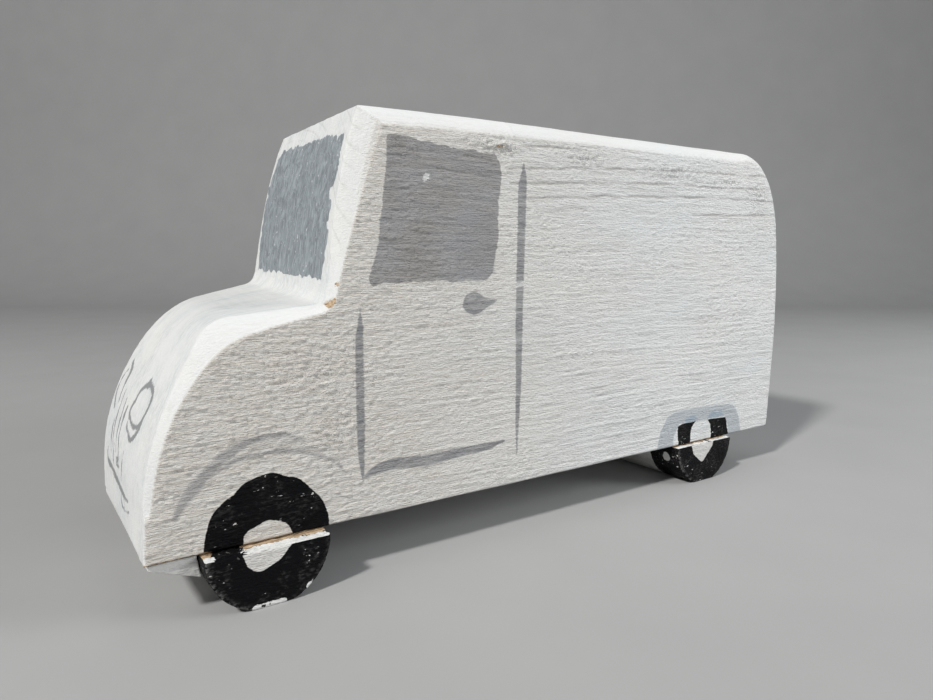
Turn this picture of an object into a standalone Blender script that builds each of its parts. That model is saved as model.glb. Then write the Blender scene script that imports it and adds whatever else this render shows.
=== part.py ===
"""A hand-made wooden toy delivery van: one solid block of timber shaped to the van's side view, a thin
wedge glued under its nose, and two half-round bars glued across its underside as the fixed wheels.

Frame: metres, +Z up, the nose points along -X, and the origin is on the ground under the middle.
The van's left flank is at -Y and its right flank at +Y.
"""

import math

import bmesh
import bpy
from mathutils import Vector

# The timber. The block is a planed 4 x 6 offcut, which is sold as 89 mm wide and 140 mm high.
BLOCK_WIDTH = 0.089
BLOCK_HEIGHT = 0.1406
GLUE_GAP = 0.0003
CRISP_ANGLE = math.radians(24)  # edges that turn more than this look crisp

# The side view, as curves that run on from each other over the roof, each with its four corner points
# as (back from the nose, up from the underside). The front was shaped by eye, so its two sides differ.
FOOT = (-0.0008, 0.0003)
LEFT_NOSE = ((0.0, 0.0130), (0.0, 0.0360), (0.0125, 0.0555), (0.0172, 0.0640))
RIGHT_NOSE = ((0.0008, 0.0130), (0.0010, 0.0303), (0.0085, 0.0484), (0.0183, 0.0606))
LEFT_SHOULDER = (LEFT_NOSE[3], (0.0192, 0.0683), (0.0222, 0.0710), (0.0280, 0.0718))
RIGHT_SHOULDER = (RIGHT_NOSE[3], (0.0238, 0.0674), (0.0305, 0.0724), (0.0373, 0.0743))
LEFT_HOOD = (LEFT_SHOULDER[3], (0.0373, 0.0726), (0.0467, 0.0734), (0.0560, 0.0742))
RIGHT_HOOD = (RIGHT_SHOULDER[3], (0.0440, 0.0759), (0.0510, 0.0775), (0.0575, 0.0791))
LEFT_COWL = (LEFT_HOOD[3], (0.0580, 0.0744), (0.0593, 0.0752), (0.0600, 0.0775))
RIGHT_COWL = (RIGHT_HOOD[3], (0.0603, 0.0798), (0.0613, 0.0810), (0.0622, 0.0840))
LEFT_SCREEN = (LEFT_COWL[3], (0.0622, 0.0975), (0.0652, 0.1180), (0.0725, 0.1399))
RIGHT_SCREEN = (RIGHT_COWL[3], (0.0652, 0.1020), (0.0685, 0.1210), (0.0766, 0.1399))
ROOF_BACK = (0.2780, BLOCK_HEIGHT)
ROOF_RUN = ((0.0880, 0.1408), (0.2100, BLOCK_HEIGHT), ROOF_BACK)
TAIL = (ROOF_BACK, (0.2945, BLOCK_HEIGHT), (0.3050, 0.1270), (0.3077, 0.1060))
BACK = (TAIL[3], (0.3110, 0.0880), (0.3144, 0.0520), (0.3086, 0.0018))
FOOT_RADIUS = 0.0018

# The same curves where the sanded edge meets the left flank.
FLANK_NOSE = ((0.0018, 0.0130), (0.0035, 0.0300), (0.0070, 0.0440), (0.0201, 0.0583))
FLANK_SHOULDER = (FLANK_NOSE[3], (0.0223, 0.0609), (0.0272, 0.0653), (0.0336, 0.0667))
FLANK_HOOD = (FLANK_SHOULDER[3], (0.0397, 0.0688), (0.0500, 0.0706), (0.0568, 0.0723))
FLANK_COWL = (FLANK_HOOD[3], (0.0594, 0.0731), (0.0612, 0.0748), (0.0618, 0.0778))
FLANK_SCREEN = (FLANK_COWL[3], (0.0642, 0.0885), (0.0720, 0.1110), (0.0795, 0.1335))
FLANK_ROOF = (FLANK_SCREEN[3], (0.0990, 0.1348), (0.2100, 0.1353), (0.2750, 0.1353))
FLANK_TAIL = (FLANK_ROOF[3], (0.2905, 0.1353), (0.3016, 0.1255), (0.3063, 0.1060))
FLANK_BACK = (FLANK_TAIL[3], (0.3096, 0.0880), (0.3130, 0.0520), (0.3072, 0.0018))

# How wide a sanded edge is across the van, and how round it is: 0 is a flat facet, 1 a full round.
EDGE_FOOT = (0.0003, 0.0)
EDGE_NOSE = (0.0045, 0.25)
EDGE_SHOULDER = (0.0060, 0.12)
EDGE_HOOD = (0.0055, 0.10)
EDGE_COWL = (0.0042, 0.10)
EDGE_BROW = (0.0048, 0.25)
EDGE_ROOF = (0.0045, 0.45)
EDGE_BACK = (0.0014, 1.0)
EDGE_RINGS = 4

# Each curve on the left, the same one on the right, the one at the left flank, its number of steps, and
# its edge at each end.
CURVES = (
    (LEFT_NOSE, RIGHT_NOSE, FLANK_NOSE, 14, EDGE_FOOT, EDGE_NOSE),
    (LEFT_SHOULDER, RIGHT_SHOULDER, FLANK_SHOULDER, 10, EDGE_NOSE, EDGE_SHOULDER),
    (LEFT_HOOD, RIGHT_HOOD, FLANK_HOOD, 6, EDGE_SHOULDER, EDGE_HOOD),
    (LEFT_COWL, RIGHT_COWL, FLANK_COWL, 5, EDGE_HOOD, EDGE_COWL),
    (LEFT_SCREEN, RIGHT_SCREEN, FLANK_SCREEN, 9, EDGE_COWL, EDGE_BROW),
    ((LEFT_SCREEN[3], *ROOF_RUN), (RIGHT_SCREEN[3], *ROOF_RUN), FLANK_ROOF, 10, EDGE_BROW, EDGE_ROOF),
    (TAIL, TAIL, FLANK_TAIL, 16, EDGE_ROOF, EDGE_BACK),
    (BACK, BACK, FLANK_BACK, 10, EDGE_BACK, EDGE_BACK),
)

# The wheels. Each bar is half of a round, cut from three-quarter-inch board, so it has a narrow flat.
WHEEL_RADIUS = 0.0201
BOARD = 0.01905
WHEEL_STEPS = 30
FRONT_WHEEL_X = 0.0350  # back from the nose
REAR_WHEEL_X = 0.2532
FRONT_BAR_LENGTH = 0.1006
REAR_BAR_LENGTH = 0.0948
BAR_EDGE = 0.0004

# The wedge under the nose. Its back is sawn at a slant to lie along the front bar.
CHIN_WIDTH = 0.0860
CHIN_SET_BACK = 0.0004
CHIN_FRONT_DEPTH = 0.0017
CHIN_TIP = (0.0014, 0.0021)
CHIN_BACK_TOP_X = 0.0143
CHIN_BACK_FOOT = (0.0156, 0.0073)
CHIN_EDGE = 0.0002

UNDERSIDE_Z = BOARD + GLUE_GAP


def clear_scene():
    for obj in list(bpy.data.objects):
        bpy.data.objects.remove(obj, do_unlink=True)


def painted_wood(name, colour, roughness):
    """Acrylic paint on timber: not metallic, and only slightly glossy."""
    material = bpy.data.materials.new(name)
    material.use_nodes = True
    shader = material.node_tree.nodes["Principled BSDF"]
    shader.inputs["Base Color"].default_value = (*colour, 1.0)
    shader.inputs["Roughness"].default_value = roughness
    shader.inputs["Metallic"].default_value = 0.0
    return material


def mix(first, second, share):
    return tuple(a + (b - a) * share for a, b in zip(first, second))


def on_curve(corners, t):
    """The point at t, from 0 to 1, along a cubic curve with these four corner points."""
    weights = ((1 - t) ** 3, 3 * t * (1 - t) ** 2, 3 * t * t * (1 - t), t**3)
    return tuple(sum(w * p[axis] for w, p in zip(weights, corners)) for axis in (0, 1))


def block_outline():
    """The outline from the foot of the nose over the roof to the foot of the back, as (left point,
    right point, flank point, edge). An edge widens or narrows most where its curve begins."""
    outline = [(FOOT, (0.0003, 0.0), FOOT, EDGE_FOOT)]
    for left, right, flank, steps, first_edge, last_edge in CURVES:
        for i in range(steps):
            t = i / steps
            edge = mix(first_edge, last_edge, math.sqrt(t))
            outline.append((on_curve(left, t), on_curve(right, t), on_curve(flank, t), edge))
    for degrees in (0, 30, 60, 90):
        turn = math.radians(degrees)
        x = BACK[3][0] - FOOT_RADIUS * (1 - math.cos(turn))
        z = BACK[3][1] - FOOT_RADIUS * math.sin(turn)
        outline.append(((x, z), (x, z), (x, z), EDGE_FOOT))
    return outline


def lofted(name, rings, material):
    """A closed solid through rings of equal length, with a flat face on the first and the last."""
    mesh = bpy.data.meshes.new(name)
    bm = bmesh.new()
    loops = [[bm.verts.new(point) for point in ring] for ring in rings]
    for lower, upper in zip(loops, loops[1:]):
        for i in range(len(lower)):
            j = (i + 1) % len(lower)
            bm.faces.new((lower[i], lower[j], upper[j], upper[i]))
    ends = (bm.faces.new(reversed(loops[0])), bm.faces.new(loops[-1]))
    bmesh.ops.recalc_face_normals(bm, faces=bm.faces)
    for face in bm.faces:
        face.smooth = True
    for edge in bm.edges:
        at_end = any(face in ends for face in edge.link_faces)
        edge.smooth = not at_end and edge.calc_face_angle() < CRISP_ANGLE
    bm.to_mesh(mesh)
    bm.free()
    mesh.materials.append(material)
    obj = bpy.data.objects.new(name, mesh)
    bpy.context.scene.collection.objects.link(obj)
    return obj


def block_ring(side, step, middle_x):
    """One ring of the block beside a flank, at -1 or 1. step goes from 0, where the sanded edge leaves
    the outline, to EDGE_RINGS, where it meets the flank."""
    flat = step / EDGE_RINGS
    turn = math.radians(90 * flat)
    ring = []
    for left, right, flank, (width, roundness) in block_outline():
        out = flat + (math.sin(turn) - flat) * roundness
        down = flat + (1 - math.cos(turn) - flat) * roundness
        y = side * (BLOCK_WIDTH / 2 - width * (1 - out))
        x, z = mix(left, right, 0.5 + y / BLOCK_WIDTH)
        x += (flank[0] - left[0]) * down
        z += (flank[1] - left[1]) * down
        ring.append(Vector((x - middle_x, y, z + UNDERSIDE_Z)))
    return ring


def body_block(material, middle_x):
    """The block: its outline swept from flank to flank, with every long edge sanded off."""
    rings = [block_ring(-1, step, middle_x) for step in reversed(range(EDGE_RINGS + 1))]
    rings += [block_ring(1, step, middle_x) for step in range(EDGE_RINGS + 1)]
    return lofted("body_block", rings, material)


def crosswise_solid(name, profile, length, bevel, material):
    """A solid with one outline, (x, z) points, all the way across the van."""
    rings = [[Vector((x, y, z)) for x, z in profile] for y in (-length / 2, length / 2)]
    obj = lofted(name, rings, material)
    edges = obj.modifiers.new("worn_edges", "BEVEL")
    edges.width = bevel
    edges.segments = 2
    edges.limit_method = "ANGLE"
    edges.angle_limit = math.radians(35)
    return obj


def wheel_bar(name, x, length, material):
    """Half of a round bar, flat side up against the block, with a narrow flat where it stands."""
    lowest = math.asin(BOARD / WHEEL_RADIUS)
    turns = [lowest * i / WHEEL_STEPS for i in range(WHEEL_STEPS + 1)]
    arc = [(WHEEL_RADIUS * math.cos(turn), BOARD - WHEEL_RADIUS * math.sin(turn)) for turn in turns]
    front = [(x - reach, z) for reach, z in arc]
    back = [(x + reach, z) for reach, z in reversed(arc)]
    return crosswise_solid(name, front + back, length, BAR_EDGE, material)


def nose_chin(material, middle_x):
    """The wedge that carries the nose's line down and back to the front wheels."""
    profile = [
        (CHIN_SET_BACK, 0.0),
        (CHIN_SET_BACK, CHIN_FRONT_DEPTH),
        CHIN_TIP,
        CHIN_BACK_FOOT,
        (CHIN_BACK_TOP_X, 0.0),
    ]
    placed = [(x - middle_x, BOARD - depth) for x, depth in profile]
    return crosswise_solid("nose_chin", placed, CHIN_WIDTH, CHIN_EDGE, material)


def main():
    clear_scene()
    white = painted_wood("white_body_paint", (0.78, 0.79, 0.77), 0.55)
    cream = painted_wood("white_chin_paint", (0.66, 0.65, 0.60), 0.60)
    front_black = painted_wood("black_front_wheel_paint", (0.02, 0.02, 0.02), 0.45)
    rear_black = painted_wood("black_rear_wheel_paint", (0.03, 0.03, 0.03), 0.45)
    lengthwise = [left[0] for left, _, _, _ in block_outline()]
    middle_x = (min(lengthwise) + max(lengthwise)) / 2
    body_block(white, middle_x)
    nose_chin(cream, middle_x)
    wheel_bar("front_wheel_bar", FRONT_WHEEL_X - middle_x, FRONT_BAR_LENGTH, front_black)
    wheel_bar("rear_wheel_bar", REAR_WHEEL_X - middle_x, REAR_BAR_LENGTH, rear_black)


main()
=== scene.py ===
import math

import bmesh
import bpy
import numpy as np
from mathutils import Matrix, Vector


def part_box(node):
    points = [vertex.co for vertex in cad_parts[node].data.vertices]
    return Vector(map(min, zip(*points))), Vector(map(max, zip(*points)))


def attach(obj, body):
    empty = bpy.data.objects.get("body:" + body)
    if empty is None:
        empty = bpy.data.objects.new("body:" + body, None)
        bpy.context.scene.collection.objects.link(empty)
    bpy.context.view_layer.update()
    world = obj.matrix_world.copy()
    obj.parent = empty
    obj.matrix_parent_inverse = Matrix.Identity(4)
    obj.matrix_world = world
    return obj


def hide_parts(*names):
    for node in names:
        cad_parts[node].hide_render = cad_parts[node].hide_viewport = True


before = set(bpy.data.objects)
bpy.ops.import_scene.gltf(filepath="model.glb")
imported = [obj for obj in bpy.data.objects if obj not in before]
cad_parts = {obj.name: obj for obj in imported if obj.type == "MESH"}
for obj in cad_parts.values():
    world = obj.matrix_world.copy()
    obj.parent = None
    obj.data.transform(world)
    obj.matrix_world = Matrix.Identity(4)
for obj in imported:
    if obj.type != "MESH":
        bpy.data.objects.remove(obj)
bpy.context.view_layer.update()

# Everything on the van is placed in millimetres: back from the nose, right of the middle, and up from
# the block's underside. These numbers turn that into the frame's metres.
MM = 0.001
NOSE_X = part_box("body_block")[0].x + 0.8 * MM  # the foot of the nose juts out this far
UNDERSIDE_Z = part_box("body_block")[0].z
FAR = 5.0  # a painted shape's own field stops this far outside it
CLEAR_OF_GROUND = 0.02  # how far above the ground the lowest points are kept


# ---------------------------------------------------------------- repeatable noise, in millimetres


def lattice(cells, seed):
    """A repeatable number from -1 to 1 for each whole-number place."""
    n = cells[0] * np.uint32(0x8DA6B343) ^ cells[1] * np.uint32(0xD8163841)
    n = n ^ cells[2] * np.uint32(0xCB1AB31F) ^ np.uint32(seed * 7919 + 17)
    n = (n ^ (n >> np.uint32(13))) * np.uint32(0x5BD1E995)
    n = (n ^ (n >> np.uint32(15))) * np.uint32(0x2C1B3C6D)
    n = n ^ (n >> np.uint32(14))
    return n.astype(np.float32) / np.float32(2**31) - np.float32(1)


def noise(points, size, seed):
    """Smooth noise from -1 to 1, whose lumps are about size across along each axis."""
    cells, shares = [], []
    for axis in range(3):
        place = points[:, axis] / size[axis] + 0.37 * seed
        low = np.floor(place)
        share = (place - low).astype(np.float32)
        cells.append(low.astype(np.int64).astype(np.uint32))
        shares.append(share * share * share * (share * (share * 6 - 15) + 10))
    total = np.zeros(len(points), np.float32)
    for corner in range(8):
        offset = (corner & 1, corner >> 1 & 1, corner >> 2 & 1)
        weight = np.ones(len(points), np.float32)
        for share, bit in zip(shares, offset):
            weight *= share if bit else 1 - share
        at = [cell + np.uint32(bit) for cell, bit in zip(cells, offset)]
        total += weight * lattice(at, seed)
    return total


def layered(points, size, seed, layers=3, fade=0.55):
    """Noise on noise: each layer has lumps half as big and fade times as high."""
    total, height, span = 0.0, 1.0, 0.0
    for layer in range(layers):
        total = total + height * noise(points, [s / 2**layer for s in size], seed + layer)
        span += height
        height *= fade
    return total / span


def ramp(values, low, high):
    """0 below low, 1 above high, and smooth between them."""
    t = np.clip((values - low) / (high - low), 0, 1)
    return t * t * (3 - 2 * t)


# ---------------------------------------------------------------- shapes painted on a flat face


def inside_outline(x, y, outline):
    """How far each point is inside a closed outline, in millimetres, and negative outside it."""
    nearest = np.full(len(x), 1e9)
    inside = np.zeros(len(x), bool)
    for (ax, ay), (bx, by) in zip(outline, outline[1:] + outline[:1]):
        dx, dy = bx - ax, by - ay
        t = np.clip(((x - ax) * dx + (y - ay) * dy) / (dx * dx + dy * dy), 0, 1)
        nearest = np.minimum(nearest, np.hypot(x - ax - t * dx, y - ay - t * dy))
        if dy:
            crosses = ((ay > y) != (by > y)) & (x < ax + (y - ay) * dx / dy)
            inside ^= crosses
    return np.where(inside, nearest, -nearest)


def inside_stroke(x, y, route):
    """The same for a brush stroke along (x, y, width) points."""
    best = np.full(len(x), -1e9)
    for (ax, ay, aw), (bx, by, bw) in zip(route, route[1:]):
        dx, dy = bx - ax, by - ay
        t = np.clip(((x - ax) * dx + (y - ay) * dy) / (dx * dx + dy * dy), 0, 1)
        gap = np.hypot(x - ax - t * dx, y - ay - t * dy)
        best = np.maximum(best, (aw + (bw - aw) * t) / 2 - gap)
    return best


def painted(x, y, where, shapes):
    """The deepest of several shapes at each point, worked out only near them. A shape is an outline of
    (x, y) points or a stroke of (x, y, width) points."""
    found = np.full(len(x), -FAR, np.float32)
    for shape in shapes:
        xs, ys = [p[0] for p in shape], [p[1] for p in shape]
        near = where & (x > min(xs) - FAR) & (x < max(xs) + FAR)
        near &= (y > min(ys) - FAR) & (y < max(ys) + FAR)
        measure = inside_stroke if len(shape[0]) == 3 else inside_outline
        found[near] = np.maximum(found[near], measure(x[near], y[near], shape))
    return found


def flowing(points, closed=True, steps=5):
    """The same outline or stroke as a smooth curve through all of its points."""
    n = len(points)
    spans = range(n) if closed else range(n - 1)
    route = []
    for i in spans:
        if closed:
            four = [points[(i + k) % n] for k in (-1, 0, 1, 2)]
        else:
            four = [points[min(max(i + k, 0), n - 1)] for k in (-1, 0, 1, 2)]
        for step in range(steps):
            t = step / steps
            weights = (-t + 2 * t**2 - t**3, 2 - 5 * t**2 + 3 * t**3, t + 4 * t**2 - 3 * t**3, t**3 - t**2)
            sums = [sum(w * p[axis] for w, p in zip(weights, four)) for axis in range(len(four[0]))]
            route.append(tuple(value / 2 for value in sums))
    return route if closed else [*route, tuple(points[-1])]


# ---------------------------------------------------------------- meshes


def skin(node, voxel):
    """A fine even mesh over a CAD node, with its edges eased a little, as paint eases them."""
    obj = bpy.data.objects.new(node + "_painted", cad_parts[node].data.copy())
    bpy.context.scene.collection.objects.link(obj)
    bm = bmesh.new()
    bm.from_mesh(obj.data)
    bmesh.ops.remove_doubles(bm, verts=bm.verts, dist=1e-6)
    bm.to_mesh(obj.data)
    bm.free()
    remesh = obj.modifiers.new("even", "REMESH")
    remesh.mode = "VOXEL"
    remesh.voxel_size = voxel * MM
    soften = obj.modifiers.new("eased", "SMOOTH")
    soften.factor = 0.5
    soften.iterations = 1
    bpy.context.view_layer.update()
    depsgraph = bpy.context.evaluated_depsgraph_get()
    mesh = bpy.data.meshes.new_from_object(obj.evaluated_get(depsgraph))
    obj.modifiers.clear()
    obj.data = mesh
    mesh.materials.clear()
    mesh.shade_smooth()
    return obj


def read(obj):
    """A mesh's points, in millimetres from the nose, the middle and the underside, and its normals."""
    mesh = obj.data
    co = np.zeros(len(mesh.vertices) * 3, np.float32)
    mesh.vertices.foreach_get("co", co)
    points = (co.reshape(-1, 3) - (NOSE_X, 0.0, UNDERSIDE_Z)) / MM
    normals = np.zeros(len(mesh.vertices) * 3, np.float32)
    mesh.vertices.foreach_get("normal", normals)
    return points.astype(np.float64), normals.reshape(-1, 3).astype(np.float64)


def write(obj, points):
    """Moves a mesh's points, and keeps it above the ground."""
    co = points * MM + (NOSE_X, 0.0, UNDERSIDE_Z)
    co[:, 2] = np.maximum(co[:, 2], CLEAR_OF_GROUND * MM)
    obj.data.vertices.foreach_set("co", co.astype(np.float32).ravel())
    obj.data.update()


def mark(obj, **fields):
    """Stores numbers on a mesh for its material to read: one for each point, or one for all of them."""
    for name, values in fields.items():
        attribute = obj.data.attributes.new(name, "FLOAT", "POINT")
        each = np.broadcast_to(np.asarray(values, np.float32), len(obj.data.vertices))
        attribute.data.foreach_set("value", np.ascontiguousarray(each))


# ---------------------------------------------------------------- the timber


PITH = (56.0, 88.0)  # right of the middle and up: the middle of the tree, as the flanks show it
RING = 3.0  # from one growth ring to the next
END_PITH = (24.0, 60.0)  # the same two as the end grain at the windscreen shows them
END_RING = 4.2
# Lumps round the knot: (back, up, how far along, how far up).
KNOTS = ((125.5, 130.0, 5.0, 2.6), (130.5, 131.0, 3.0, 3.6))
SWIRL = (126.5, 132.5)  # the middle of the brush mark that curls round the knot: back and up

# Crumbs of thick paint: (back, up, how far along, how far up, how strong).
CRUMBS = ((172.0, 130.0, 13.0, 3.0, 1.0), (225.0, 127.5, 26.0, 4.0, 0.8), (262.0, 125.0, 14.0, 4.0, 0.8),
          (288.0, 122.0, 12.0, 6.0, 0.9), (292.0, 113.0, 9.0, 5.0, 0.7), (124.0, 131.0, 14.0, 3.0, 0.9),
          (86.0, 128.0, 10.0, 3.0, 0.5), (55.0, 52.0, 26.0, 12.0, 0.5), (60.0, 32.0, 10.0, 12.0, 0.6))

# The open grain's long grooves on the top of each flank, as (back, up, width) strokes.
GROOVES = [[(84, 121, 0.1), (106, 120.5, 0.4), (124, 119.5, 0.3)],
           [(84, 126, 0.2), (104, 126.5, 0.5), (124, 125.5, 0.3)],
           [(131, 123, 0.1), (141, 123.5, 0.4), (177, 126, 0.6), (216, 128, 0.5), (301, 130, 0.4)],
           [(133, 117.5, 0.1), (158, 119, 0.5), (204, 121.5, 0.5), (227, 122, 0.6), (303, 123.5, 0.3)],
           [(135, 112, 0.1), (158, 113.5, 0.4), (192, 115.5, 0.5), (245, 117.5, 0.5), (305, 118, 0.4)],
           [(240, 109, 0.1), (256, 109.5, 0.4), (306, 111, 0.3)],
           [(138, 131.5, 0.1), (152, 132.5, 0.4), (172, 133, 0.1)]]


def ring_lines(radius, spacing, width):
    """1 on the line of each growth ring, falling to 0 about width millimetres away."""
    share = radius / spacing
    off = np.abs(share - np.round(share)) * spacing
    return np.exp(-((off / width) ** 2))


def timber_relief(points, normals):
    """How high the painted timber stands at each point, in millimetres, as the long slow unevenness of
    hand work and the fine relief on it, how deep in a groove the point is, and how crumbly the paint is.
    Long grain shows as ridges and short streaks along the van, and end grain as faint arcs."""
    back, right, up = points.T
    end_grain = ramp(np.abs(normals[:, 0]), 0.25, 0.7)
    long_grain = 1 - end_grain
    flank = ramp(np.abs(normals[:, 1]), 0.86, 0.985)
    front = ramp(back, 120, 60)
    wander = 1.5 * noise(points, (70, 45, 34), 3) + 0.4 * noise(points, (24, 12, 9), 4)
    grain = np.stack([back, right, up + wander], 1)

    streaks = 0.14 * noise(grain, (14, 1.0, 0.76), 11) + 0.08 * noise(grain, (32, 2.0, 1.35), 13)
    streaks += 0.085 * noise(grain, (6, 0.8, 0.62), 12)
    short = 0.12 * noise(grain, (3.4, 0.9, 0.72), 14)
    pimples = 0.26 * ramp(noise(points, (1.5, 0.9, 0.85), 21), 0.12, 0.62)
    patchy = ramp(noise(points, (26, 26, 15), 23), -0.45, 0.45)
    busy = 0.25 + 0.75 * np.maximum(front, 0.7 * patchy)
    fine = long_grain * (streaks * (1.0 - 0.35 * front) + (short + pimples) * busy)
    fine *= 0.10 + 0.90 * flank

    radius = np.hypot(right - PITH[0], grain[:, 2] - PITH[1]) + 1.3 * np.exp(-(((back - 108) / 42) ** 2))
    low = ramp(up, 72, 50) * ramp(noise(points, (60, 40, 16), 24), -0.75, 0.1)
    fine += 0.19 * low * flank * long_grain * ring_lines(radius, RING, 0.16) * (1 - 0.55 * front)
    waver = 0.35 * noise(points, (9, 5, 5), 26) + 0.15 * noise(points, (2.2, 2, 2), 25)
    cut = ramp(painted(back, up + waver, np.abs(normals[:, 1]) > 0.3, GROOVES), -0.55, 0.15)
    groove = flank * cut * (0.45 + 0.55 * ramp(noise(points, (12, 9, 5), 27), -0.55, 0.1))

    across = np.hypot(right - END_PITH[0], up - END_PITH[1]) + 1.1 * noise(points, (30, 18, 18), 28)
    arcs = ring_lines(across, END_RING, 0.30) * ramp(up, 80, 92) * ramp(back, 110, 90)
    groove += 0.34 * end_grain * arcs * ramp(noise(points, (12, 8, 8), 29), -0.4, 0.3)
    fine += end_grain * (0.05 * noise(points, (1.4, 1.0, 1.6), 31) + 0.04 * noise(points, (3, 0.9, 5), 32))
    fine += (1 - flank) * long_grain * 0.05 * noise(grain, (12, 0.9, 0.9), 33)
    fine -= 0.24 * groove

    knotty = (right < 0) * ramp(np.abs(normals[:, 1]), 0.35, 0.60)
    for knot_back, knot_up, reach, rise in KNOTS:
        near = np.exp(-(((back - knot_back) / reach) ** 2) - ((up - knot_up) / rise) ** 2) * knotty
        lumps = ramp(noise(points, (1.5, 1.5, 1.25), 41), -0.10, 0.35)
        fine += near * (0.66 * lumps + 0.22 * noise(points, (0.8, 0.8, 0.7), 42))
    crumbs = np.zeros(len(points))
    for crumb_back, crumb_up, reach, rise, strength in CRUMBS:
        near = np.exp(-(((back - crumb_back) / reach) ** 2) - ((up - crumb_up) / rise) ** 2)
        crumbs = np.maximum(crumbs, strength * near * flank)
    fine += 0.45 * crumbs * ramp(noise(points, (1.7, 1.4, 1.25), 48), 0.08, 0.42)
    swirl = np.hypot(back - SWIRL[0], (up - SWIRL[1]) / 1.5) + 1.3 * noise(points, (3.4, 3, 3), 43)
    beyond = knotty * ramp(back, 127.5, 131) * ramp(up, 118, 125)
    broken = ramp(noise(points, (2.4, 2, 2.2), 47), -0.45, 0.25)
    fine += 0.32 * beyond * broken * np.exp(-(((swirl - 8.2) / 0.8) ** 2))
    slow = 0.16 * layered(points, (26, 22, 22), 51, 2)
    return slow, fine, groove, crumbs


# ---------------------------------------------------------------- what is painted on the block


# On each flank: (back from the nose, up from the underside), with a stroke's width after them.
SIDE_WINDOW = [(81, 131), (110, 128.5), (126, 127.5), (129, 124), (128.5, 118), (127, 93), (125.5, 84),
               (122.5, 81.5), (79, 81.5), (75, 80), (73.5, 83), (76.5, 91), (78.5, 103), (80, 117)]
WINDOW_OVERLAP = [(107.5, 105.5), (125.5, 106.5), (126.5, 84), (109, 83.5)]
REAR_DOOR = [(139.5, 125.5, 0.3), (139.5, 120, 3), (139, 114, 4), (138.5, 90, 3.7), (138, 64, 3.4),
             (138, 43, 2.8), (137.5, 26, 1.8), (137.5, 12, 0.4)]
FRONT_DOOR = [(70, 73, 0.3), (70, 66.5, 2.2), (69.5, 60, 3), (69.5, 35, 3), (69.5, 22, 2.3),
              (70, 13.5, 0.5)]
SILL = [(70.5, 15, 0.8), (75, 16.5, 3.2), (82, 17.5, 4), (95.5, 16.5, 4), (110, 17, 3.3), (122, 17.5, 3),
        (131, 18.5, 1)]
HANDLE = [(111.5, 72.5), (112.5, 75.5), (114.5, 77), (117, 77.5), (122, 75), (127.5, 74), (123, 71.5),
          (117.5, 69), (114, 69.5), (112, 71)]
ARCH_THICK = [(8.5, 13, 1.4), (11.5, 18, 3.2), (16.5, 23.5, 3.9), (21.5, 28, 3.6), (28, 32, 2.8),
              (36, 34, 2), (43, 33.5, 1.8), (49, 31, 0.6)]
ARCH_THIN = [(20.5, 24.5, 0.8), (27, 28, 1.3), (36, 29, 1.4), (43, 28.5, 1.3), (50.5, 26.5, 1.3),
             (56.5, 24, 1.1), (60.5, 21.5, 0.9), (62.5, 18.5, 0.4)]
ARCH_WASH = [(20, 25), (27, 28.5), (36, 29.5), (44, 29), (52, 26), (58, 23), (53, 29), (45, 33), (36, 34),
             (27, 31.5)]
FRONT_TYRE = [(16, -2), (16.5, 4), (18.5, 11), (21.5, 14.5), (26, 17.5), (29, 20), (33, 21.5), (38.5, 22),
              (43, 20), (47, 18.5), (51, 14.5), (54, 11), (56, 7), (57, 2.5), (57, -2)]
FRONT_HUB = [(28, -2), (28.5, 3), (31, 5), (35.5, 6.5), (39, 6), (43, 3.5), (45, -2)]
REAR_ARCH = [(221, -2), (221.5, 2), (223.5, 9), (228, 15), (234, 17), (249, 17), (275, 16), (279.5, 14),
             (283, 9), (285.5, 1.5), (286, -2), (275.5, -2), (274.5, 5.5), (271.5, 10), (257.5, 10.5),
             (236.5, 10.5), (233, 5.5), (232.5, -2)]
REAR_TYRE = [(237, -2), (235.5, 5.5), (235.5, 9.5), (238.5, 10.5), (249.5, 10.5), (272.5, 9.5),
             (274, 4.5), (276, -2)]
REAR_HUB = [(245, -2), (245.5, 6.5), (247, 9), (250, 11), (255, 11), (259, 9), (261, 4), (260.5, -2)]
SMUDGES = [[(241, 10.5), (241.5, 13), (248, 13.5), (250, 11)],
           [(258, 10.5), (259.5, 13), (262.5, 14), (265.5, 12.5), (268, 14), (270.5, 10.5)]]

# On the front: (right of the middle, up from the underside).
WINDSCREEN = [(-35.5, 131), (-30.5, 131.5), (-29.5, 129.5), (-28, 132), (-2, 132.5), (21, 133.5),
              (32, 133.5), (36.5, 130.5), (38.5, 120.5), (38.5, 104.5), (36, 85), (-19, 83.5), (-34, 83),
              (-35.5, 92), (-36, 98.5), (-34, 99.5), (-34, 101.5), (-35.5, 102.5), (-35, 109), (-33, 110),
              (-33, 113), (-36, 114), (-36.5, 121)]
LEFT_LAMP = [(-11, 50, 0.9), (-8, 48, 1.8), (-2.5, 45, 1.8), (-1, 42, 2), (2, 38.5, 2.4), (1, 36.5, 1.9),
             (-5.5, 35, 1.6), (-11.5, 35, 1.5), (-17.5, 36.5, 1.7), (-21, 41, 2), (-22, 44.5, 1.9),
             (-20, 47.5, 1.8), (-11.5, 48.5, 2.2), (-7, 47, 1.4)]
LEFT_LAMP_LID = [(1, 35.5, 1.2), (1, 33, 1.4), (-4.5, 31.5, 1.2), (-10, 30.5, 1.6), (-18, 34.5, 1.9),
                 (-20, 38, 1.2)]
RIGHT_LAMP = [[(32, 51, 1), (28, 49, 2.2), (26.5, 47, 2.6), (27.5, 42.5, 1.8), (27.5, 37, 1)],
              [(32.5, 48, 0.8), (37, 44, 1.3), (38, 39, 1.8), (33, 34, 1.6)]]
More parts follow.
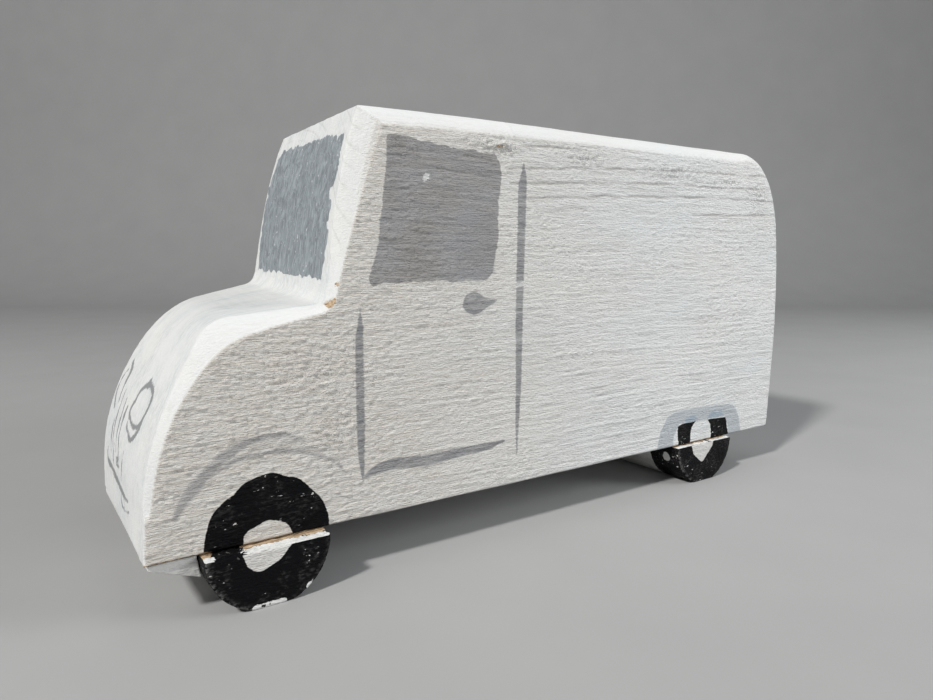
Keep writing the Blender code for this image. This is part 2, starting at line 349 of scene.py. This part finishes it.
GRILLE = [[(21, 42, 0.7), (22, 37, 1.3), (23, 32.5, 1.5), (23, 27, 1.4), (22, 21.5, 0.9)],
          [(14, 40, 1.1), (14.5, 36, 2), (15, 32, 1.6), (15.5, 27.5, 1.4), (14, 21.5, 0.8)],
          [(8.5, 38, 1.4), (10, 34.5, 2.3), (10.5, 31.5, 1.5), (11, 27.5, 1.3), (8.5, 23, 1.1),
           (7, 19, 0.7)],
          [(26, 31, 0.8), (27, 27, 1.7), (26.5, 22.5, 1.5), (24.5, 18.5, 1)],
          [(-2.5, 25, 0.6), (-1, 20, 1.2), (-0.5, 15, 1)],
          [(19, 23, 0.7), (19, 18.5, 1.1), (17, 15.5, 0.6)],
          [(11.5, 19.5, 0.7), (6.5, 20.5, 0.9), (11, 17.5, 0.9), (4.5, 18, 0.7)]]
BUMPER = [[(32.5, 18.5, 1), (32, 14, 2.6), (22, 13.5, 2.2), (12, 12.5, 2.6), (2, 11.5, 2.2), (-8, 11, 1.6),
           (-15.5, 11.5, 0.6)],
          [(19.5, 12, 1.1), (17, 8.5, 0.9)],
          [(0, 10.5, 0.6), (-1, 7, 1), (-8, 6.5, 0.8), (-17.5, 8.5, 0.5)],
          [(-5.5, 11, 0.6), (-8, 8, 0.9), (-6.5, 6.5, 0.5)]]

# The glue line along the underside's edge, as a (back, up, width) stroke. It is widest at the nose.
SEAM = [(-1.5, -0.4, 2.6), (8.0, -0.3, 2.4), (17.0, -0.4, 2.3), (22.0, -0.8, 1.2), (60.0, -1.0, 1.1),
        (150.0, -0.9, 1.2), (235.0, -1.0, 1.2), (309.0, -0.7, 1.5)]

# Small dabs of white over the grey, on the left flank: on the side window and on the rear door line.
NICKS = [[(95, 116), (95, 117.5), (96, 119), (97.5, 118.5), (97.5, 117.5), (96, 116)],
         [(135.5, 78), (136.5, 80), (140.5, 81), (141, 79.5), (138.5, 78.5)]]

# Where the wood is bare, on the left flank: the chip below the windscreen, the speck above it, and the
# knot's heart.
CHIPS = [[(59, 73.5), (58.5, 75), (60, 76), (61.5, 77), (62, 76), (60.5, 74)],
         [(62, 80.5), (62, 81.5), (63, 82), (62.5, 80.5)],
         [(125.5, 130.5), (128.5, 131), (130, 130.5), (127.5, 130)]]


def stroke(route):
    """A brush stroke, or the top of an outline whose foot is below the underside, as a smooth curve."""
    return flowing(route, closed=False)


def paint_block():
    """The block, with its relief, and with a field for each kind of paint on it."""
    obj = skin("body_block", 0.45)
    points, normals = read(obj)
    back, right, up = points.T
    flank = np.abs(normals[:, 1]) > 0.3
    left = flank & (normals[:, 1] < 0)
    front = (normals[:, 0] < -0.05) & (back < 90)
    tyres = painted(back, up, flank, [stroke(FRONT_TYRE), REAR_TYRE])
    hubs = painted(back, up, flank, [stroke(FRONT_HUB), stroke(REAR_HUB)])
    strokes = [stroke(line) for line in (REAR_DOOR, FRONT_DOOR, SILL)]
    drawing = [stroke(line) for line in (LEFT_LAMP, LEFT_LAMP_LID, *RIGHT_LAMP, *GRILLE, *BUMPER)]
    wobble = noise(points, (3.2, 3.0, 2.6), 45) + 0.5 * noise(points, (1.3, 1.3, 1.2), 46)
    fields = {
        "window": painted(back, up, flank, [SIDE_WINDOW]) + 0.45 * wobble,
        "overlap": painted(back, up, flank, [WINDOW_OVERLAP]),
        "lines": painted(back, up, flank, [*strokes, flowing(HANDLE)]),
        "arcs": painted(back, up, flank, [stroke(ARCH_THICK), stroke(ARCH_THIN)]),
        "wash": painted(back, up, flank, [ARCH_WASH]),
        "black": np.minimum(tyres, -hubs),
        "arch": painted(back, up, flank, [REAR_ARCH]),
        "smudge": painted(back, up, flank, SMUDGES),
        "windscreen": painted(right, up, front & (up > 76), [WINDSCREEN]) + 0.9 * wobble,
        "drawing": painted(right, up, front & (up < 60), drawing) + 0.35 * wobble,
        "seam": painted(back, up, flank, [SEAM]),
        "nick": painted(back, up, left, NICKS),
        "bare": painted(back, up, left, CHIPS),
    }
    slow, fine, groove, crumbs = timber_relief(points, normals)
    for name in ("window", "black", "arch", "windscreen", "nick"):
        fine += 0.03 * ramp(fields[name], -0.3, 0.3)
    fine -= 0.40 * ramp(fields["bare"], -0.3, 0.5) * (1 + 0.6 * noise(points, (1.1, 1.1, 1.1), 44))
    write(obj, points + normals * (slow + fine)[:, None])
    level = np.abs(normals[:, 1])
    # Painted shade: the flanks warmer and darker towards the nose.
    warmth = ramp(level, 0.88, 0.96) * ramp(back, 230, 40)
    tooth = 0.30 + 0.70 * ramp(level, 0.86, 0.96)
    faced = ramp(level, 0.55, 0.2) * ramp(back, 120, 80) * 0.75
    nose = ramp(back, 24, 12)
    mark(obj, relief=fine, groove=groove, crumbs=crumbs, warmth=warmth, tooth=tooth, faced=faced, nose=nose)
    mark(obj, **fields)
    return obj


# ---------------------------------------------------------------- the pieces underneath


# On the face of each bar's end: (back from the nose, up from the underside).
FRONT_BAR_HUB = [(26, 3), (26.5, -1.5), (28, -5), (31, -7), (33.5, -6.5), (37, -5), (40, -2.5), (42.5, 3)]
REAR_BAR_HUB = [(243.5, 3), (244, -3), (245, -5), (248, -7.5), (251.5, -9.5), (255, -6.5), (258, -3.5),
                (259, -1.5), (259, 3)]
FRONT_CROSSING = (18.2, 27.2)  # where the black tyre paint runs on over the ledge: back from the nose
REAR_CROSSING = (256.0, 257.5)
BAR_GAP = 0.3  # the glue line, from the underside down to a bar's flat top
FOOT_DEPTH = 18.9  # from the underside down to where a bar's foot is worn
DAB_BACK = 12.2  # from a bar's middle back to the worn dab on its rim

# A dab of white on the front of the rear bar's tread: (right of the middle, up from the underside).
REAR_DAB = [(-42, -6.5), (-41.5, -4.5), (-40, -3.5), (-38.5, -4), (-37.5, -6), (-38, -8), (-39.5, -8.5),
            (-41, -8)]


def paint_bar(node, hub, crossing, black_reach, ledge, foot_wear=0.0, dabs=()):
    """A half-round bar: black from each end in as far as black_reach, and white across its middle. Its
    ledges, out beyond the block, are bare beside the block and rubbed to white along their lip. Its foot
    can be worn white."""
    obj = skin(node, 0.38)
    points, normals = read(obj)
    back, right, up = points.T
    half = np.abs(right).max()
    middle = (back.min() + back.max()) / 2
    end = np.abs(normals[:, 1]) > 0.6
    top = normals[:, 2] > 0.6
    tread = ~end & (normals[:, 0] < 0)
    hubs = np.maximum(painted(back, up, end, [flowing(hub)]), painted(right, up, tread, dabs))
    black = np.minimum(np.abs(right) - (half - black_reach), -hubs)
    ragged = 0.55 * noise(points, (2.2, 1.6, 1.6), 61) + 0.45 * noise(points, (0.85, 0.85, 0.85), 62)
    over = np.minimum(back - crossing[0], crossing[1] - back) + 1.2 * ragged
    lip = np.abs(right) - (half - ledge) + ragged
    bare = np.where(top, np.minimum(-lip, -over), -FAR)
    rubbed = np.where(top, np.minimum(lip, -over), -FAR)
    radius = (back.max() - back.min()) / 2
    from_rim = radius - np.hypot(back - middle, up + BAR_GAP)
    beside = half - np.abs(right)
    worn = np.exp(-((up + FOOT_DEPTH) ** 2) - (beside / 1.5) ** 2)
    worn = worn * ramp(back - middle, -7.0, -5.8) * ramp(back - middle, 5.0, 3.6)
    dab = np.exp(-(((back - middle - DAB_BACK) / 1.1) ** 2) - ((from_rim - 0.6) / 0.6) ** 2) * end
    worn = foot_wear * np.maximum(worn, 0.7 * dab) * ramp(ragged, -0.65, -0.20)
    rim = np.exp(-((from_rim / 1.1) ** 2)) * end * (0.35 + 0.65 * ramp(middle - back, -2, 6))
    slow = 0.06 * layered(points, (9, 9, 9), 51, 2)
    fine = 0.10 * noise(points, (1.1, 14, 1.1), 52) * ~end + 0.10 * noise(points, (7, 1.1, 0.8), 53) * end
    fine += 0.07 * noise(points, (1.0, 1.0, 0.9), 54) + 0.03 * ramp(black, -0.2, 0.2)
    fine += np.where(top, 0.28 * noise(points, (1.9, 1.0, 1.0), 55), 0) + 0.12 * np.maximum(worn, 0)
    write(obj, points + normals * (slow + fine)[:, None])
    # A middling amount of the painted warm shade over all of the bar.
    mark(obj, relief=fine, groove=0.0, warmth=0.5, tooth=1.0, crumbs=0.0)
    mark(obj, black=black, bare=bare, rubbed=np.maximum(rubbed, 8 * worn - 2), rim=rim)
    return obj


def paint_chin():
    """The wedge under the nose: plain white."""
    obj = skin("nose_chin", 0.32)
    points, normals = read(obj)
    slow = 0.05 * layered(points, (9, 9, 9), 71, 2)
    fine = 0.07 * noise(points, (6, 1.3, 0.9), 72) + 0.05 * noise(points, (1.2, 1.2, 1.0), 73)
    write(obj, points + normals * (slow + fine)[:, None])
    # A little of the painted warm shade over all of the chin.
    mark(obj, relief=fine, groove=0.0, warmth=0.3, tooth=0.6, crumbs=0.0)
    return obj


# ---------------------------------------------------------------- materials


class Graph:
    """A material's nodes, made one by one."""

    def __init__(self, name):
        self.material = bpy.data.materials.new(name)
        self.material.use_nodes = True
        self.tree = self.material.node_tree
        self.shader = self.tree.nodes["Principled BSDF"]

    def add(self, kind, links=(), **settings):
        """A new node, with what goes into its sockets and how it is set."""
        node = self.tree.nodes.new("ShaderNode" + kind)
        for name, value in settings.items():
            setattr(node, name, value)
        for socket, value in links:
            self.put(node.inputs[socket], value)
        return node

    def put(self, socket, value):
        """Links a node's output to a socket, or sets the socket to a number or a colour."""
        if isinstance(value, bpy.types.NodeSocket):
            self.tree.links.new(value, socket)
        else:
            socket.default_value = value

    def math(self, operation, *values):
        return self.add("Math", list(enumerate(values)), operation=operation).outputs[0]

    def mix(self, share, first, second):
        """The first colour where share is 0, and the second where it is 1."""
        node = self.add("Mix", data_type="RGBA")
        self.put(node.inputs[0], share)
        self.put(node.inputs[6], first)
        self.put(node.inputs[7], second)
        return node.outputs[2]

    def field(self, name):
        """A number that mark() stored on the mesh."""
        return self.add("Attribute", attribute_name=name).outputs["Fac"]

    def noise(self, size, detail=3.0, stretch=(1.0, 1.0, 1.0), distortion=0.0):
        """Noise from 0 to 1 with lumps about size millimetres across, longer where stretch is more."""
        coordinates = self.add("TexCoord").outputs["Object"]
        mapping = self.add("Mapping", [("Vector", coordinates)])
        mapping.inputs["Scale"].default_value = [1 / (size * s * MM) for s in stretch]
        node = self.add("TexNoise", [("Vector", mapping.outputs[0]), ("Scale", 1.0), ("Detail", detail)])
        node.inputs["Distortion"].default_value = distortion
        return node.outputs["Fac"]

    def between(self, value, low, high):
        """0 where the value is low, 1 where it is high, and a straight slope between them."""
        links = [("Value", value), ("From Min", low), ("From Max", high)]
        return self.add("MapRange", links, clamp=True).outputs[0]

    def edge(self, field, ragged, softness, size=1.2, stretch=(2.5, 1.0, 1.0)):
        """Where a painted shape is, from its field, with an edge as ragged as a brush leaves it."""
        rough = self.math("SUBTRACT", self.noise(size, 4.0, stretch), 0.5)
        shifted = self.math("MULTIPLY_ADD", rough, ragged * 2, field)
        return self.between(shifted, -softness, softness)

    def over(self, colour, share, paint, opacity=1.0):
        """One paint over another, where share says, and as opaque as it is said to be."""
        return self.mix(self.math("MULTIPLY", share, opacity), colour, paint)


WHITE = (0.84, 0.84, 0.825, 1)
WHITE_COOL = (0.81, 0.825, 0.825, 1)
# Warm white for thin paint, and for the painted warm shade on the flanks towards the nose.
THIN_AND_SHADED_WHITE = (0.69, 0.645, 0.585, 1)
BRUSHED = (0.62, 0.665, 0.675, 1)
# The warm dark of the painted shade in the grooves and the low places of the relief.
PAINTED_SHADE = (0.40, 0.375, 0.35, 1)
GREY = (0.33, 0.33, 0.345, 1)
GREY_BROWN = (0.30, 0.285, 0.275, 1)
SCREEN_GREY = (0.375, 0.415, 0.445, 1)
SCREEN_DARK = (0.225, 0.25, 0.27, 1)
LINE_GREY = (0.30, 0.30, 0.31, 1)
PENCIL = (0.17, 0.175, 0.185, 1)
ARCH_BLUE = (0.495, 0.53, 0.56, 1)
SMUDGE_BLUE = (0.36, 0.45, 0.53, 1)
BLACK = (0.005, 0.005, 0.006, 1)
SCUFF = (0.070, 0.066, 0.064, 1)
RIM_GREY = (0.35, 0.34, 0.33, 1)
WOOD = (0.66, 0.52, 0.35, 1)
WOOD_DARK = (0.27, 0.15, 0.075, 1)
CARD = (0.40, 0.40, 0.40, 1)
CARD_PALE = (0.45, 0.45, 0.445, 1)


def white_paint(g):
    """White acrylic: cooler where it is thick and warm in streaks where it was brushed thin, with painted
    shade that makes the flanks warmer and darker towards the nose, and painted shade in the grooves and in
    the low places of the relief."""
    broad = g.between(g.noise(38, 3.0, (2.0, 1, 1)), 0.38, 0.66)
    colour = g.mix(broad, WHITE, WHITE_COOL)
    thin = g.math("MULTIPLY", g.between(g.noise(16, 5.0, (3.5, 1, 1)), 0.42, 0.70), 0.30)
    streak = g.between(g.noise(0.6, 4.0, (14, 1, 1)), 0.40, 0.66)
    # Painted shade, streaked like the brush, as strong as the share stored on the mesh.
    shade_share = g.math("MULTIPLY", g.math("MULTIPLY_ADD", streak, 0.40, 0.55), g.field("warmth"))
    share = g.math("MULTIPLY_ADD", streak, thin, shade_share)
    colour = g.mix(share, colour, THIN_AND_SHADED_WHITE)
    bristles = g.between(g.noise(0.9, 4.0, (12, 1, 3)), 0.42, 0.62)
    drag = g.math("MULTIPLY", g.between(g.noise(14, 3.0, (2, 1, 1)), 0.36, 0.60), bristles)
    colour = g.mix(g.math("MULTIPLY", drag, g.field("faced")), colour, BRUSHED)
    # Painted shade: darker where the relief dips below its surroundings.
    shade_in_lows = g.math("MULTIPLY", g.between(g.field("relief"), -0.01, -0.12), 0.22)
    colour = g.mix(shade_in_lows, colour, PAINTED_SHADE)
    # Painted shade: darker along the grooves.
    return g.mix(g.math("MULTIPLY", g.field("groove"), 0.42), colour, PAINTED_SHADE)


def bare_wood(g):
    """Pale wood with darker grain."""
    grain = g.between(g.noise(0.8, 4.0, (8, 1, 1)), 0.35, 0.7)
    return g.mix(grain, WOOD, WOOD_DARK)


def finish_paint(g, colour, roughness, gloss, strokes=0.0):
    """Sends the colour to the shader, with the paint's own fine tooth and any brush strokes on it."""
    g.put(g.shader.inputs["Base Color"], colour)
    sheen = g.noise(2.5, 3.0, (3, 1, 1))
    g.put(g.shader.inputs["Roughness"], g.math("MULTIPLY_ADD", sheen, 0.22, roughness - 0.11))
    g.put(g.shader.inputs["Specular IOR Level"], gloss)
    streaks = g.math("ADD", g.noise(0.50, 3.0, (13, 1, 1)), g.noise(0.42, 2.0, (4, 1, 1)))
    speckle = g.math("MULTIPLY_ADD", g.noise(0.7, 4.0, (1.6, 1, 1)), 0.7, streaks)
    lumps = g.math("MULTIPLY", g.between(g.noise(0.8, 2.0), 0.50, 0.66), g.field("crumbs"))
    tooth = g.math("MULTIPLY_ADD", lumps, 0.7, g.math("MULTIPLY", speckle, g.field("tooth")))
    height = g.math("ADD", tooth, strokes)
    node = g.add("Bump", [("Height", height), ("Strength", 1.0), ("Distance", 0.50 * MM)])
    g.put(g.shader.inputs["Normal"], node.outputs[0])
    return g.material


def black_paint(g, colour, scuffed):
    """Black tyres over whatever is under them, chipped in specks and scuffed grey, and how glossy the
    paint is."""
    specks = g.between(g.noise(1.1, 3.0, (1.9, 1, 1)), 0.67, 0.70)
    clusters = g.between(g.noise(7.0, 2.0), 0.44, 0.56)
    whole = g.math("SUBTRACT", 1.0, g.math("MULTIPLY", specks, clusters))
    black = g.math("MULTIPLY", g.edge(g.field("black"), 0.35, 0.10, 0.9), whole)
    scuff = g.math("MULTIPLY", g.between(g.noise(0.6, 5.0, (3, 1, 1.5)), 0.48, 0.68), clusters)
    gloss = g.math("MULTIPLY_ADD", black, -0.15, 0.22)
    return g.mix(black, colour, g.mix(g.math("MULTIPLY", scuff, scuffed), BLACK, SCUFF)), gloss


def block_material():
    """White paint, then each colour painted over it in the order that a hand would, then the bare wood."""
    g = Graph("painted_block")
    colour = white_paint(g)
    brush = g.between(g.noise(1.1, 5.0, (12, 1, 1)), 0.28, 0.62)
    patches = g.between(g.noise(9, 3.0, (2, 1, 1)), 0.35, 0.65)
    dry = g.math("MULTIPLY_ADD", brush, 0.28, g.math("MULTIPLY_ADD", patches, 0.16, 0.42))
    colour = g.over(colour, g.edge(g.field("wash"), 1.4, 1.6), LINE_GREY, 0.12)
    arcs = g.math("MULTIPLY", g.edge(g.field("arcs"), 0.9, 0.6), dry)
    colour = g.over(colour, arcs, LINE_GREY, 0.95)
    lines = g.math("MULTIPLY", g.edge(g.field("lines"), 0.40, 0.25), dry)
    colour = g.over(colour, lines, LINE_GREY, 1.3)
    dark = g.math("MULTIPLY", g.between(g.noise(0.8, 4.0, (16, 1, 1)), 0.52, 0.66), 0.40)
    pane = g.mix(dark, g.mix(patches, GREY_BROWN, GREY), PENCIL)
    cover = g.math("MULTIPLY_ADD", brush, 0.14, 0.80)
    colour = g.over(colour, g.math("MULTIPLY", g.edge(g.field("window"), 0.35, 0.22), cover), pane)
    colour = g.over(colour, g.edge(g.field("overlap"), 0.9, 0.6), GREY, 0.35)
    colour = g.over(colour, g.edge(g.field("arch"), 0.35, 0.3), ARCH_BLUE, 0.88)
    colour = g.over(colour, g.edge(g.field("smudge"), 1.4, 0.5, 1.6, (1, 1, 1)), SMUDGE_BLUE, 0.8)
    strokes = g.between(g.noise(3.4, 6.0, (1, 0.8, 2.2), 1.6), 0.34, 0.62)
    dots = g.between(g.noise(1.5, 2.0), 0.68, 0.71)
    screen = g.edge(g.field("windscreen"), 0.5, 0.15, 0.9, (1, 0.8, 1.6))
    screen = g.math("MULTIPLY", screen, g.math("SUBTRACT", 1.0, g.math("MULTIPLY", dots, 0.8)))
    colour = g.mix(screen, colour, g.mix(strokes, SCREEN_DARK, SCREEN_GREY))
    colour = g.over(colour, g.edge(g.field("drawing"), 0.80, 0.30, 0.7, (1, 1, 1)), PENCIL, 0.78)
    colour = g.over(colour, g.edge(g.field("nick"), 1.3, 0.2, 0.8), WHITE, 0.8)
    colour, gloss = black_paint(g, colour, 0.40)
    rust = g.between(g.noise(1.1, 3.0), 0.50, 0.62)
    bared = g.math("MULTIPLY_ADD", g.field("nose"), 0.40, 0.55)
    seam = g.math("MULTIPLY", g.edge(g.field("seam"), 0.35, 0.15, 0.9), bared)
    colour = g.mix(seam, colour, g.mix(rust, WOOD_DARK, WOOD))
    colour = g.mix(g.edge(g.field("bare"), 0.9, 0.12, 1.0, (1, 1, 1)), colour, bare_wood(g))
    brushed = g.math("MULTIPLY", screen, g.math("MULTIPLY", strokes, 0.7))
    return finish_paint(g, colour, 0.58, gloss, brushed)


def bar_material():
    """White and black paint, with the rim rubbed grey, the lip rubbed white and the ledge bare."""
    g = Graph("painted_bar")
    colour, gloss = black_paint(g, white_paint(g), 0.80)
    rim = g.math("MULTIPLY", g.field("rim"), g.between(g.noise(1.2, 4.0), 0.42, 0.62))
    colour = g.mix(g.math("MULTIPLY", rim, 0.45), colour, RIM_GREY)
    colour = g.mix(g.edge(g.field("rubbed"), 2.2, 0.15, 0.8, (1.5, 1, 1)), colour, WHITE)
    colour = g.mix(g.edge(g.field("bare"), 0.5, 0.15, 0.8, (1, 1, 1)), colour, bare_wood(g))
    return finish_paint(g, colour, 0.52, gloss)


def chin_material():
    """White paint on its own."""
    g = Graph("painted_chin")
    return finish_paint(g, white_paint(g), 0.56, 0.22)


# ---------------------------------------------------------------- the stage


# The floor, in metres: it is turned to face the camera, and its far edge curves up into a backdrop.
FLOOR_NEAR = -1.6
FLOOR_FAR = 1.2
FLOOR_HALF = 2.6
FLOOR_TURN = 34.3  # degrees
CURVE = 0.5
BACKDROP_TOP = 2.2


def area_light(name, place, aim, size, power, colour):
    """A round lamp, aimed at a point."""
    lamp = bpy.data.lights.new(name, "AREA")
    lamp.shape = "DISK"
    lamp.size = size
    lamp.energy = power
    lamp.color = colour
    obj = bpy.data.objects.new(name, lamp)
    obj.location = place
    obj.rotation_euler = (Vector(aim) - Vector(place)).to_track_quat("-Z", "Y").to_euler()
    bpy.context.scene.collection.objects.link(obj)


def pale_floor():
    """A broad sheet of card, a little uneven in tone, that curves up into the backdrop."""
    mesh = bpy.data.meshes.new("floor")
    bm = bmesh.new()
    profile = [(FLOOR_NEAR, 0.0), (FLOOR_FAR, 0.0)]
    for a in np.linspace(0.15, math.pi / 2, 10):
        profile.append((FLOOR_FAR + CURVE * math.sin(a), CURVE - CURVE * math.cos(a)))
    profile.append((FLOOR_FAR + CURVE, BACKDROP_TOP))
    turn = math.radians(FLOOR_TURN)
    rows = []
    for side in (-FLOOR_HALF, FLOOR_HALF):
        row = []
        for reach, z in profile:
            x = side * math.cos(turn) + reach * math.sin(turn)
            y = -side * math.sin(turn) + reach * math.cos(turn)
            row.append(bm.verts.new((x, y, z)))
        rows.append(row)
    for i in range(len(profile) - 1):
        bm.faces.new((rows[0][i], rows[1][i], rows[1][i + 1], rows[0][i + 1]))
    bm.to_mesh(mesh)
    bm.free()
    mesh.shade_smooth()
    obj = bpy.data.objects.new("floor", mesh)
    bpy.context.scene.collection.objects.link(obj)
    g = Graph("pale_card")
    tone = g.noise(60, 4.0)
    g.put(g.shader.inputs["Base Color"], g.mix(tone, CARD, CARD_PALE))
    g.shader.inputs["Roughness"].default_value = 0.75
    mesh.materials.append(g.material)


def camera():
    """Close in front of the van's left front corner, low, and level from side to side."""
    lens = bpy.data.cameras.new("camera")
    lens.sensor_width = 36.0
    lens.lens = 27.0
    lens.clip_start = 0.01
    obj = bpy.data.objects.new("camera", lens)
    obj.location = (NOSE_X - 0.0323, -0.2576, 0.1098)
    look = Vector((0.5588, 0.8185, -0.1330))
    obj.rotation_euler = look.to_track_quat("-Z", "Y").to_euler()
    bpy.context.scene.collection.objects.link(obj)
    bpy.context.scene.camera = obj


def studio():
    """A soft key light from the front left, weaker lights on the flank and on the roof's edge, a dim
    even light all round, the floor and the camera."""
    world = bpy.data.worlds.new("studio")
    world.use_nodes = True
    background = world.node_tree.nodes["Background"]
    background.inputs["Color"].default_value = (0.93, 0.95, 1.0, 1)
    background.inputs["Strength"].default_value = 0.20
    bpy.context.scene.world = world
    area_light("key", (-1.68, -0.64, 1.66), (0.0, 0.0, 0.07), 0.24, 46.4, (1.0, 0.99, 0.965))
    area_light("fill", (0.95, -0.85, 0.55), (0.17, 0.0, 0.08), 0.6, 8.1, (0.96, 0.985, 1.0))
    area_light("top", (0.75, -0.35, 0.90), (0.16, 0.0, 0.15), 0.5, 1.0, (0.96, 0.98, 1.0))
    pale_floor()
    camera()
    bpy.context.scene.view_settings.view_transform = "Standard"


def dress(obj, node, material):
    """Gives a painted skin its material, and puts it in the place of its CAD node."""
    obj.data.materials.append(material)
    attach(obj, "root")
    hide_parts(node)


dress(paint_block(), "body_block", block_material())
front_bar = paint_bar("front_wheel_bar", FRONT_BAR_HUB, FRONT_CROSSING, black_reach=17.0, ledge=3.8,
                      foot_wear=1.0)
dress(front_bar, "front_wheel_bar", bar_material())
rear_bar = paint_bar("rear_wheel_bar", REAR_BAR_HUB, REAR_CROSSING, black_reach=17.5, ledge=2.3,
                     dabs=[REAR_DAB])
dress(rear_bar, "rear_wheel_bar", bar_material())
dress(paint_chin(), "nose_chin", chin_material())
studio()
